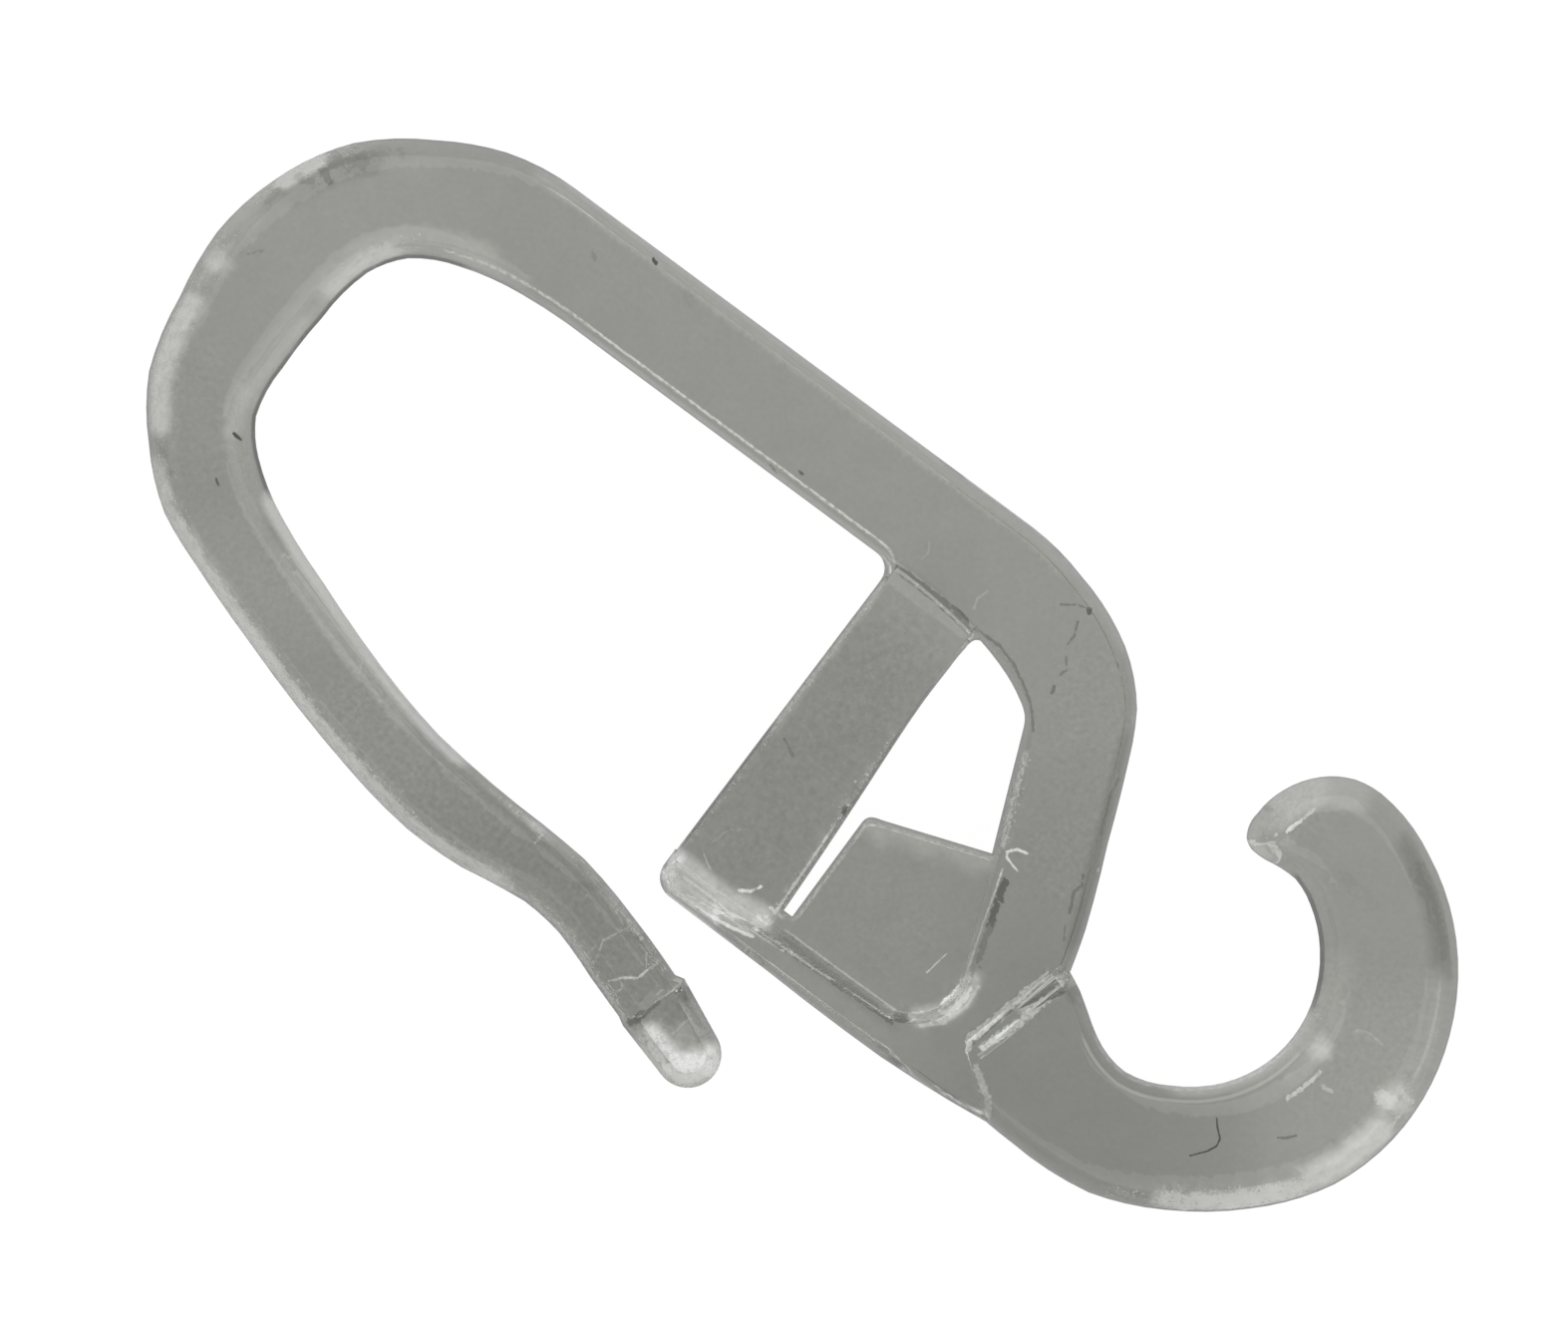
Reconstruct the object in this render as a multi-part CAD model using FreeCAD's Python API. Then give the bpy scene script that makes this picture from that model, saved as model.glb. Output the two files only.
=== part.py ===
import FreeCAD, Part
import math
import os

# Curtain hook, one clear plastic moulding. Millimetres. It lies flat: +X runs along the straight back towards
# the small hook, +Y from the arm to the back, +Z through the thickness, with Z = 0 on the lower face.
# While it is drawn, X = 0 is the cross-bar's left edge and Y = 0 the middle of the loop's height. At the end
# the solid moves so that the middle of its footprint is the origin.

# Thickness of each form, from face to face. All share one parting plane at half the frame's thickness.
frame_thickness = 3.0
hook_thickness = 2.7
crossbar_thickness = 2.0
web_thickness = 1.2
bead_thickness = 2.6

# The straight back and the loop's left bend
back_width = 2.9
back_inner_y = 5.55
back_left_x = -12.3
back_right_x = 2.3
loop_left_x = -19.0
bend_side_width = 3.43

# The slanted right bar, the bottom bar and the corner between them
right_bar_lean = 22.4
right_bar_top_width = 2.82
right_bar_foot_width = 2.68
right_bar_inner_x = 6.86
bottom_bar_top_y = -3.6
bottom_bar_width = 1.1
corner_radius = 1.3
foot_radius = 0.6
foot_left_x = -0.18

# The arm and the bead on its end
arm_width = 2.28
arm_end_width = 1.86
bead_end_radius = 0.86
bead_shoulder = 0.08
bead_root = 0.72

# The cross-bar
crossbar_width = 2.78
crossbar_foot_spread = 0.14
crossbar_root_radius = 0.5
root_ramp_length = 0.45
root_ramp_rise = 0.32

# The web and the slot beside it
web_left_x = 3.25
web_corner_x = 3.6
web_corner_y = 0.12
web_top_rise = 0.357
web_corner_drop = 0.34
slot_end_y = -3.22

# The small hook
hook_centre_x = 12.05
hook_centre_y = 2.0
hook_inner_radius = 3.36
hook_outer_radius = 6.1
hook_outer_shift = 0.82

# The rib across the neck
rib_base_width = 0.8
rib_top_width = 0.44
rib_height = 0.22

# Ejector-pin marks
mark_depth = 0.06
foot_mark_radius = 0.87
hook_mark_radius = 0.6

# Width, seen from above, of the rounded band beside each face, taken from the wall that it belongs to
back_outer_band = 0.12 * back_width
back_inner_band = 0.093 * back_width
bend_outer_band = 0.233 * bend_side_width
bend_inner_band = 0.248 * bend_side_width
arm_outer_band = 0.254 * arm_width
arm_inner_band = 0.22 * arm_width
right_bar_band = 0.11 * right_bar_foot_width
bottom_band = 0.2 * bottom_bar_width
wedge_band = 0.67 * bottom_bar_width
hook_wall = hook_outer_radius - hook_inner_radius
hook_band = 0.33 * hook_wall
hook_neck_band = 0.165 * hook_wall
tip_band = 0.31 * hook_wall
crossbar_band = 0.047 * crossbar_width
web_band = 0.133 * web_thickness

mid_z = frame_thickness / 2
straight_enough = 0.0005


# How a rounded band falls away: at each step from the parting plane to the face, the share of the half
# thickness and the share of the band's width. It is a quarter ellipse with the mould's draft added.
def rounded(heights, draft=0.15):
    return [(h, draft * h + (1 - draft) * (1 - math.sqrt(1 - h * h))) for h in heights]


flank = rounded((0.0, 0.3, 0.6, 0.8, 0.93, 1.0))
thin_flank = rounded((0.0, 0.7, 1.0))


# Outlines. Each is a list of pieces, drawn clockwise with the material on the right. A point is x, y and the
# width of the band there, or the band's own x and y reach where it isn't square to the edge. Each piece starts
# where the last one ends.
def line(*end):
    return ("line", [end], None, None)


def arc(middle, end):
    return ("arc", [middle, end], None, None)


def curve(points, leave=None, arrive=None):
    return ("curve", points, leave, arrive)


def flat(point, z=0.0):
    return FreeCAD.Vector(point[0], point[1], z)


def pieces_of(outline):
    """The outline's pieces, each with the point it starts from in front."""
    start, pieces = outline[0], []
    for kind, points, leave, arrive in outline[1:]:
        pieces.append((kind, [start] + list(points), leave, arrive))
        start = points[-1]
    return pieces


def directions(piece):
    """The outline's direction at each drawn point of the piece, taken from the circle through its neighbours."""
    kind, drawn, leave, arrive = piece
    points = [flat(p) for p in drawn]
    chords = [b - a for a, b in zip(points, points[1:])]
    ways = [before / before.Length**2 + after / after.Length**2 for before, after in zip(chords, chords[1:])]
    if not ways:
        return [chords[0].normalize()] * 2
    ways = [way.normalize() for way in ways]
    first, last = chords[0].normalize(), chords[-1].normalize()
    start = leave or first * (2 * first.dot(ways[0])) - ways[0]
    end = arrive or last * (2 * last.dot(ways[-1])) - ways[-1]
    return [flat(start).normalize()] + ways + [flat(end).normalize()]


def bend(start, end, leaving, arriving):
    """An arc from start to end that turns as far as the two directions, or a line where they are the same."""
    turn = math.atan2(leaving.cross(arriving).z, leaving.dot(arriving))
    chord = end - start
    sag = chord.Length / 2 * math.tan(turn / 4)
    if abs(sag) < straight_enough:
        return Part.LineSegment(start, end)
    outward = FreeCAD.Vector(chord.y, -chord.x, 0).normalize()
    return Part.Arc(start, (start + end) / 2 + outward * sag, end)


def laid(piece, points, ways):
    """The piece laid through points: a line, an arc, or one arc from each point to the next."""
    if piece[0] == "line":
        return [Part.LineSegment(points[0], points[1])]
    if piece[0] == "arc":
        return [Part.Arc(*points)]
    return [bend(*span) for span in zip(points, points[1:], ways, ways[1:])]


def drawn_in(outline, share, z):
    """The outline's closed wire at height z, moved into the material by a share of each point's band."""
    pieces = pieces_of(outline)
    ways = [directions(piece) for piece in pieces]
    edges = []
    for i, piece in enumerate(pieces):
        moved = []
        for j, point in enumerate(piece[1]):
            before = after = ways[i][j]
            if j == 0:
                before = ways[i - 1][-1]
            if j == len(piece[1]) - 1:
                after = ways[(i + 1) % len(pieces)][0]
            inward = FreeCAD.Vector(before.y + after.y, -before.x - after.x, 0)
            inward = inward / (1 + before.dot(after))
            inward = flat(point[2]) if isinstance(point[2], tuple) else inward * point[2]
            moved.append(flat(point, z) + inward * share)
        edges += [shape.toShape() for shape in laid(piece, moved, ways[i])]
    return Part.Wire(edges)


def between(one, other, share):
    return one + (other - one) * share


def bar(outline, thickness, steps=flank):
    """A flat bar with rounded, drafted flanks, widest at the parting plane halfway between its two faces."""
    half = thickness / 2
    levels = [(-height, share) for height, share in reversed(steps[1:])] + list(steps)
    wires = [drawn_in(outline, share, mid_z + height * half) for height, share in levels]
    return Part.makeLoft(wires, True, True)


# The frame's main bar: arm, left bend, back, right bend, right bar and bottom bar in one run. The arm's end is
# square here and lies inside the bead.
back_outer_y = back_inner_y + back_width
lean = math.radians(right_bar_lean)
down_bar = FreeCAD.Vector(math.sin(lean), -math.cos(lean), 0)
across_bar = FreeCAD.Vector(math.cos(lean), math.sin(lean), 0)
bar_axis_foot = FreeCAD.Vector(right_bar_inner_x, 0, 0)
bar_inner_top = bar_axis_foot - down_bar * 4.5
bar_outer_top = bar_axis_foot - down_bar * 4.35 + across_bar * right_bar_top_width
neck = bar_axis_foot + down_bar * 1.25 + across_bar * right_bar_foot_width
corner_point = bar_axis_foot + down_bar * (-bottom_bar_top_y / math.cos(lean))
corner_reach = corner_radius / math.tan((math.pi / 2 - lean) / 2)
corner_on_bar = corner_point - down_bar * corner_reach
corner_on_bottom = corner_point - FreeCAD.Vector(corner_reach, 0, 0)
corner_centre = corner_on_bottom + FreeCAD.Vector(0, corner_radius, 0)
corner_middle = corner_centre + (corner_point - corner_centre).normalize() * corner_radius
bottom_y = bottom_bar_top_y - bottom_bar_width
notch = (10.45, bottom_y + 0.22)
foot_side = foot_left_x + foot_radius
foot_y = bottom_y + 0.02 + foot_radius

bend_x = loop_left_x
inner_x = loop_left_x + bend_side_width
main_bar = [
    (1.9, -6.27 - arm_end_width, arm_outer_band),
    curve(
        [
            (0.0, -7.53, arm_outer_band),
            (-1.3, -7.1, arm_outer_band),
            (-2.5, -6.98, arm_outer_band),
            (-4.3, -7.24, arm_outer_band),
            (-6.0, -5.0 - arm_width, arm_outer_band),
            (-8.2, -6.92, arm_outer_band),
            (-12.0, -5.87, arm_outer_band),
            (-14.5, -5.02, arm_outer_band),
            (bend_x + 3.2, -4.48, between(arm_outer_band, bend_outer_band, 0.3)),
            (bend_x + 1.8, -3.27, between(arm_outer_band, bend_outer_band, 0.6)),
            (bend_x + 0.72, -1.8, between(arm_outer_band, bend_outer_band, 0.85)),
            (bend_x + 0.22, 0.2, bend_outer_band),
            (bend_x, 2.1, bend_outer_band),
            (bend_x + 0.37, back_outer_y - 4.45, bend_outer_band),
            (bend_x + 1.47, back_outer_y - 2.42, between(back_outer_band, bend_outer_band, 0.85)),
            (bend_x + 3.1, back_outer_y - 1.13, between(back_outer_band, bend_outer_band, 0.6)),
            (bend_x + 4.75, back_outer_y - 0.3, between(back_outer_band, bend_outer_band, 0.3)),
            (back_left_x, back_outer_y, back_outer_band),
        ],
        arrive=flat((1, 0)),
    ),
    line(back_right_x, back_outer_y, back_outer_band),
    curve(
        [
            (back_right_x + 1.7, back_outer_y - 0.26, back_outer_band),
            (back_right_x + 3.7, back_outer_y - 1.05, back_outer_band),
            (bar_outer_top.x - 0.62, bar_outer_top.y + 1.2, right_bar_band),
            (bar_outer_top.x, bar_outer_top.y, right_bar_band),
            (bar_outer_top.x + 0.82, bar_outer_top.y - 2.0, right_bar_band),
            (neck.x - 0.33, neck.y + 1.12, right_bar_band),
            (neck.x, neck.y, right_bar_band),
        ],
        leave=flat((1, 0)),
    ),
    line(neck.x - 0.85, bottom_bar_top_y + 0.3, 0.1),
    line(notch[0], notch[1], 0.1),
    curve(
        [
            (7.2, bottom_y - 0.06, right_bar_band),
            (3.6, bottom_y - 0.02, bottom_band),
            (foot_side, bottom_y + 0.02, bottom_band),
        ]
    ),
    curve(
        [
            (
                foot_side - foot_radius * math.sin(math.pi / 4),
                foot_y - foot_radius * math.cos(math.pi / 4),
                (0.3, 0.09),
            ),
            (foot_left_x, foot_y, (0.42, bottom_y + 0.35 - foot_y)),
        ],
        arrive=flat((0, 1)),
    ),
    line(foot_left_x, bottom_bar_top_y, (0.5, -wedge_band)),
    line(web_left_x + 0.3, bottom_bar_top_y, between(wedge_band, right_bar_band, 0.6)),
    line(corner_on_bottom.x, corner_on_bottom.y, right_bar_band),
    arc(
        (corner_middle.x, corner_middle.y, right_bar_band),
        (corner_on_bar.x, corner_on_bar.y, right_bar_band),
    ),
    line(bar_inner_top.x, bar_inner_top.y, right_bar_band),
    curve(
        [
            (4.96, 4.47, right_bar_band),
            (4.62, 4.71, right_bar_band),
            (4.0, back_inner_y - 0.54, right_bar_band),
            (back_right_x + 0.4, back_inner_y - 0.19, back_inner_band),
            (0.0, back_inner_y, back_inner_band),
        ],
        leave=down_bar * -1,
        arrive=flat((-1, 0)),
    ),
    line(back_left_x + 2.6, back_inner_y, back_inner_band),
    curve(
        [
            (back_left_x + 0.5, back_inner_y - 0.09, between(back_inner_band, bend_inner_band, 0.25)),
            (inner_x + 2.1, back_inner_y - 0.46, between(back_inner_band, bend_inner_band, 0.6)),
            (inner_x + 0.9, back_inner_y - 1.08, between(back_inner_band, bend_inner_band, 0.85)),
            (inner_x + 0.28, back_inner_y - 2.0, bend_inner_band),
            (inner_x + 0.04, back_inner_y - 3.6, bend_inner_band),
            (inner_x - 0.01, 0.3, bend_inner_band),
            (inner_x + 0.18, -1.1, bend_inner_band),
            (inner_x + 0.85, -1.9, bend_inner_band),
            (inner_x + 2.2, -2.75, between(arm_inner_band, bend_inner_band, 0.75)),
            (-11.5, -3.48, between(arm_inner_band, bend_inner_band, 0.4)),
            (-9.0, -4.33, arm_inner_band),
            (-6.8, -4.86, arm_inner_band),
            (-4.0, -5.1, arm_inner_band),
            (-1.9, -5.2, arm_inner_band),
            (0.0, -5.65, arm_inner_band),
            (2.2, -6.38, arm_inner_band),
        ],
        leave=flat((-1, 0)),
    ),
    line(1.9, -6.27 - arm_end_width, arm_outer_band),
]
frame_solid = bar(main_bar, frame_thickness)

# The bead: a short blunt end, a little proud of the arm at its shoulder, with a root that runs back into it
bead_centre = (3.2, -7.64)
bead_band = 0.4
bead_tilt_top = math.radians(66)
bead_tilt_bottom = math.radians(-107)
bead_edge = [
    (1.42 - bead_root, -5.76 - arm_end_width, bead_band),
    line(1.97 - bead_root, -6.32, bead_band),
    line(1.98, -6.22 + bead_shoulder, bead_band),
    line(
        bead_centre[0] + bead_end_radius * math.cos(bead_tilt_top),
        bead_centre[1] + bead_end_radius * math.sin(bead_tilt_top),
        bead_band,
    ),
    arc(
        (
            bead_centre[0] + bead_end_radius * math.cos((bead_tilt_top + bead_tilt_bottom) / 2),
            bead_centre[1] + bead_end_radius * math.sin((bead_tilt_top + bead_tilt_bottom) / 2),
            bead_band,
        ),
        (
            bead_centre[0] + bead_end_radius * math.cos(bead_tilt_bottom),
            bead_centre[1] + bead_end_radius * math.sin(bead_tilt_bottom),
            bead_band,
        ),
    ),
    line(1.42, -6.18 - arm_end_width, bead_band),
    line(1.42 - bead_root, -5.76 - arm_end_width, bead_band),
]
bead_solid = bar(bead_edge, bead_thickness, thin_flank)

# The cross-bar, from the back's inner side to the bottom bar, a little wider at its foot
crossbar_top_y = back_inner_y + 0.6
crossbar_right_x = crossbar_width - 0.05
crossbar_edge = [
    (foot_left_x + 0.03, -4.1, crossbar_band),
    line(-0.05, back_inner_y - crossbar_root_radius, crossbar_band),
    arc(
        (
            -0.05 - crossbar_root_radius * (1 - math.cos(math.pi / 4)),
            back_inner_y - crossbar_root_radius * (1 - math.sin(math.pi / 4)),
            crossbar_band,
        ),
        (-0.05 - crossbar_root_radius, back_inner_y, crossbar_band),
    ),
    line(-0.05 - crossbar_root_radius, crossbar_top_y, crossbar_band),
    line(crossbar_right_x + 0.25, crossbar_top_y, crossbar_band),
    line(crossbar_right_x + 0.25, back_inner_y - 0.22, crossbar_band),
    curve(
        [
            (crossbar_right_x + 0.06, back_inner_y - 0.32, crossbar_band),
            (crossbar_right_x, back_inner_y - 0.6, crossbar_band),
            (crossbar_right_x - 0.03, 4.2, crossbar_band),
            (crossbar_right_x - 0.05, 3.2, crossbar_band),
            (crossbar_right_x + 0.02, 1.6, crossbar_band),
            (crossbar_right_x + crossbar_foot_spread, -0.4, crossbar_band),
            (crossbar_right_x + 2 * crossbar_foot_spread, -4.1, crossbar_band),
        ]
    ),
    line(foot_left_x + 0.03, -4.1, crossbar_band),
]
crossbar_solid = bar(crossbar_edge, crossbar_thickness, thin_flank)

# Ramps at the cross-bar's root, from its face up to the flank of the back, on both faces
ramp_start_y = back_inner_y - root_ramp_length
ramp_face = crossbar_thickness / 2
ramp_solids = []
for side in (1, -1):
    profile = [
        FreeCAD.Vector(0.1, ramp_start_y, mid_z + side * (ramp_face - 0.2)),
        FreeCAD.Vector(0.1, ramp_start_y, mid_z + side * ramp_face),
        FreeCAD.Vector(0.1, crossbar_top_y, mid_z + side * (ramp_face + root_ramp_rise)),
        FreeCAD.Vector(0.1, crossbar_top_y, mid_z + side * (ramp_face - 0.2)),
    ]
    face = Part.Face(Part.makePolygon(profile + profile[:1]))
    ramp_solids.append(face.extrude(FreeCAD.Vector(crossbar_width - 0.3, 0, 0)))

# The web in the frame's corner, and the stub of it that closes the slot
web_top_right_x = right_bar_inner_x + 0.9
web_edge = [
    (crossbar_right_x, bottom_bar_top_y - 0.35, web_band),
    line(crossbar_right_x, slot_end_y, web_band),
    line(web_left_x, slot_end_y, web_band),
    line(web_left_x, web_corner_y - web_corner_drop, web_band),
    curve(
        [
            (web_left_x + 0.08, web_corner_y - 0.12, web_band),
            (web_corner_x, web_corner_y, web_band),
        ],
        leave=flat((0, 1)),
        arrive=flat((1, web_top_rise)),
    ),
    line(web_top_right_x, web_corner_y + web_top_rise * (web_top_right_x - web_corner_x), web_band),
    line(corner_point.x + 0.35, corner_point.y + 0.6, web_band),
    line(corner_point.x - 0.4, bottom_bar_top_y - 0.35, web_band),
    line(crossbar_right_x, bottom_bar_top_y - 0.35, web_band),
]
web_solid = bar(web_edge, web_thickness, thin_flank)

# The small hook: two arcs about nearly the same centre, a neck that runs under the frame, and a blunt tip
outer_centre_x = hook_centre_x + hook_outer_shift


def on_inner(angle, out=0.0, band=hook_band):
    turn = math.radians(angle)
    reach = hook_inner_radius + out
    return (hook_centre_x + reach * math.cos(turn), hook_centre_y + reach * math.sin(turn), band)


def on_outer(angle, out=0.0, band=hook_band):
    turn = math.radians(angle)
    reach = hook_outer_radius + out
    return (outer_centre_x + reach * math.cos(turn), hook_centre_y + reach * math.sin(turn), band)


hook_top_y = hook_centre_y + hook_outer_radius
tip_foot_y = hook_centre_y + hook_inner_radius - 0.08 * hook_wall


def on_tip(along, up, band=tip_band):
    """A point on the tip, by shares of the hook's wall from its centre line and of the tip's height."""
    return (hook_centre_x + along * hook_wall, tip_foot_y + up * (hook_top_y - tip_foot_y), band)


hook_edge = [
    (8.75, -4.3, hook_neck_band),
    line(8.2, -3.0, hook_neck_band),
    line(neck.x, neck.y, hook_neck_band),
    curve(
        [
            (neck.x + 0.5, neck.y - 0.24, hook_neck_band),
            (neck.x + 1.19, neck.y - 0.7, hook_neck_band),
            (neck.x + 1.8, neck.y - 1.04, hook_neck_band),
            on_inner(-83, 0.01, hook_neck_band),
            on_inner(-62, -0.04, between(hook_neck_band, hook_band, 0.3)),
            on_inner(-38, -0.03, between(hook_neck_band, hook_band, 0.7)),
            on_inner(-12, -0.02),
            on_inner(15, -0.03),
            on_inner(40, -0.03),
            on_inner(60, 0.0, 0.95 * hook_band),
            on_inner(73, 0.0, 0.85 * hook_band),
            on_tip(0.1, 0.015, (0.1 * tip_band, 0.82 * tip_band)),
            on_tip(-0.128, 0.003, (0.55 * tip_band, 0.93 * tip_band)),
            on_tip(-0.235, 0.055, (0.78 * tip_band, 0.85 * tip_band)),
            on_tip(-0.292, 0.29, (0.98 * tip_band, 0.35 * tip_band)),
            on_tip(-0.226, 0.58),
            on_tip(-0.018, 0.865, 0.94 * tip_band),
            on_tip(0.255, 1.024, 0.88 * tip_band),
            on_tip(0.53, 1.06, 0.88 * tip_band),
        ],
        arrive=flat((1, 0)),
    ),
    curve(
        [
            on_outer(66, 0.18, 0.9 * hook_band),
            on_outer(45, 0.13),
            on_outer(22, 0.08),
            on_outer(-2, 0.07),
            on_outer(-24, 0.03),
            on_outer(-45, -0.09),
            on_outer(-66, 0.02, between(hook_neck_band, hook_band, 0.8)),
            on_outer(-84, 0.32, between(hook_neck_band, hook_band, 0.4)),
            (notch[0] + 0.75, notch[1] - 0.05, hook_neck_band),
            (notch[0], notch[1] - 0.02, hook_neck_band),
        ],
        leave=flat((1, 0)),
    ),
    line(8.75, -4.3, hook_neck_band),
]
hook_solid = bar(hook_edge, hook_thickness)

# The rib across the neck, on the upper face only
rib_top = FreeCAD.Vector(neck.x - 0.2, neck.y - 0.36, 0)
rib_foot = FreeCAD.Vector(neck.x - 0.9, neck.y - 3.05, 0)
rib_along = (rib_foot - rib_top).normalize()
rib_across = FreeCAD.Vector(-rib_along.y, rib_along.x, 0)


def rib_wire(width, z):
    half = rib_across * (width / 2)
    lift = FreeCAD.Vector(0, 0, z)
    corners = [rib_top + half, rib_foot + half, rib_foot - half, rib_top - half]
    return Part.makePolygon([c + lift for c in corners + corners[:1]])


rib_start_z = mid_z + hook_thickness / 2 - 0.1
rib_solid = Part.makeLoft(
    [
        rib_wire(rib_base_width, rib_start_z),
        rib_wire(rib_base_width, frame_thickness - 0.02),
        rib_wire(rib_top_width, frame_thickness + rib_height),
    ],
    True,
    True,
)

# Everything is one moulding
solid = frame_solid.fuse([bead_solid, crossbar_solid, web_solid, hook_solid, rib_solid] + ramp_solids)

# Ejector-pin marks, shallow round dents in the upper faces
foot_mark_z = mid_z + crossbar_thickness / 2 - mark_depth
foot_mark = Part.makeCylinder(foot_mark_radius, 1.0, FreeCAD.Vector(1.25, -2.75, foot_mark_z))
hook_mark_z = mid_z + hook_thickness / 2 - mark_depth
hook_mark = Part.makeCylinder(hook_mark_radius, 1.0, FreeCAD.Vector(17.0, 2.4, hook_mark_z))
solid = solid.cut(foot_mark).cut(hook_mark).removeSplitter()
hook = solid.Solids[0]

box = hook.optimalBoundingBox(False, False)
hook.translate(FreeCAD.Vector(-(box.XMin + box.XMax) / 2, -(box.YMin + box.YMax) / 2, -box.ZMin))
print("solids", len(solid.Solids), "valid", hook.isValid(), "volume", round(hook.Volume, 2))
print("box", round(box.XLength, 3), round(box.YLength, 3), round(box.ZLength, 3), box.Center)

os.makedirs("parts", exist_ok=True)
hook.exportStep("parts/curtain_hook.step")
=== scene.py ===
import math

import bmesh
import bpy
import numpy as np
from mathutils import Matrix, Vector
from mathutils.kdtree import KDTree


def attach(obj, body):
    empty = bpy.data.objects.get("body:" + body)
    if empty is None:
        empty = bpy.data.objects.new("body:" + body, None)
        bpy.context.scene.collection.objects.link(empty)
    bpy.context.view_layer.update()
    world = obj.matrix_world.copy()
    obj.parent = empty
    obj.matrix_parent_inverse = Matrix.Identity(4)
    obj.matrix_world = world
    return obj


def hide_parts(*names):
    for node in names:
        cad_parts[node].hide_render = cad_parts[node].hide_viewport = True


# The hook lies flat, as it would rest. Z is up and 0 on its lower face, +X runs along the straight back towards
# the small hook. Marks and sizes below are in millimetres in that frame, and mm turns them into metres.
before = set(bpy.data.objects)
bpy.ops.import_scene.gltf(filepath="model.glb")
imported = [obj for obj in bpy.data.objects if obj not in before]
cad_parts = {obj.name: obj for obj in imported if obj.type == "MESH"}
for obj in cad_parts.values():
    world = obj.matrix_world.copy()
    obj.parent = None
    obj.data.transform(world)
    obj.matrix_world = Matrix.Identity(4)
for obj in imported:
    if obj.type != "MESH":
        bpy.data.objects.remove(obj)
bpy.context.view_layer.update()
mm = 0.001

# The moulding is one piece of clear plastic, shot into a two-part mould. Its rounded, drafted flanks meet on a
# parting line halfway up. The solid's loose triangles are joined into one skin that shades as it was moulded.
parting_z = 1.5
weld_gap = 0.002
sliver_width = 0.0005
same_height = 0.01
soft_angle = math.radians(38)
facet_angle = math.radians(3)
any_shape = math.radians(100)
net_size = 0.4
flank_cut = 0.25
past_ends = 20.0

skin = bmesh.new()
skin.from_mesh(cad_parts["curtain_hook"].data)
bmesh.ops.remove_doubles(skin, verts=skin.verts, dist=weld_gap * mm)
bmesh.ops.dissolve_degenerate(skin, edges=skin.edges, dist=sliver_width * mm)


def is_flat(face):
    """Whether a face lies level, as the upper and lower faces of the bars do."""
    return abs(face.normal.z) > 0.9999


def on_parting_line(edge):
    """Whether an edge is the crest where the flanks of the two mould halves meet."""
    level = all(abs(v.co.z / mm - parting_z) < same_height for v in edge.verts)
    return level and edge.link_faces[0].normal.z * edge.link_faces[-1].normal.z < 0


def tree_of(edges, spacing=0.05):
    """Points along edges, in millimetres in plan, to measure how far a point is from that line."""
    points = []
    for edge in edges:
        a, b = (Vector((v.co.x, v.co.y, 0)) / mm for v in edge.verts)
        steps = max(1, math.ceil((b - a).length / spacing))
        points += [a.lerp(b, i / steps) for i in range(steps)]
    tree = KDTree(len(points))
    for i, point in enumerate(points):
        tree.insert(point, i)
    tree.balance()
    return tree


outline = tree_of([e for e in skin.edges if on_parting_line(e)])


def cut_across(faces, axis, planes):
    """Cuts faces by planes square to an axis, halving the list each time, and returns the faces that this makes."""
    if not planes or not faces:
        return faces
    middle = len(planes) // 2
    at, square = Vector((0, 0, 0)), Vector((0, 0, 0))
    at[axis], square[axis] = planes[middle] * mm, 1
    geom = list({e for f in faces for e in f.edges} | {v for f in faces for v in f.verts}) + faces
    geom = bmesh.ops.bisect_plane(skin, geom=geom, dist=1e-8, plane_co=at, plane_no=square)["geom"]
    sides = ([], [])
    for item in geom:
        if isinstance(item, bmesh.types.BMFace):
            sides[item.calc_center_median()[axis] > at[axis]].append(item)
    return cut_across(sides[0], axis, planes[:middle]) + cut_across(sides[1], axis, planes[middle + 1:])


def columns(spacing):
    """Evenly spaced places to cut at, from past one end of the hook to past the other."""
    half = round(past_ends / spacing)
    return [spacing * (i + 0.5) for i in range(-half, half)]


flanks = [f for f in skin.faces if not is_flat(f)]
bmesh.ops.join_triangles(skin, faces=flanks, angle_face_threshold=facet_angle, angle_shape_threshold=any_shape)
rows = ([], [])
for face in skin.faces:
    if not is_flat(face):
        longest = max(face.edges, key=lambda e: e.calc_length())
        run = longest.verts[1].co - longest.verts[0].co
        if run.length / mm > flank_cut:
            rows[0 if abs(run.x) > abs(run.y) else 1].append(face)
for axis in (0, 1):
    cut_across(rows[axis], axis, columns(flank_cut))
cut_across(cut_across([f for f in skin.faces if is_flat(f)], 0, columns(net_size)), 1, columns(net_size))

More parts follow.
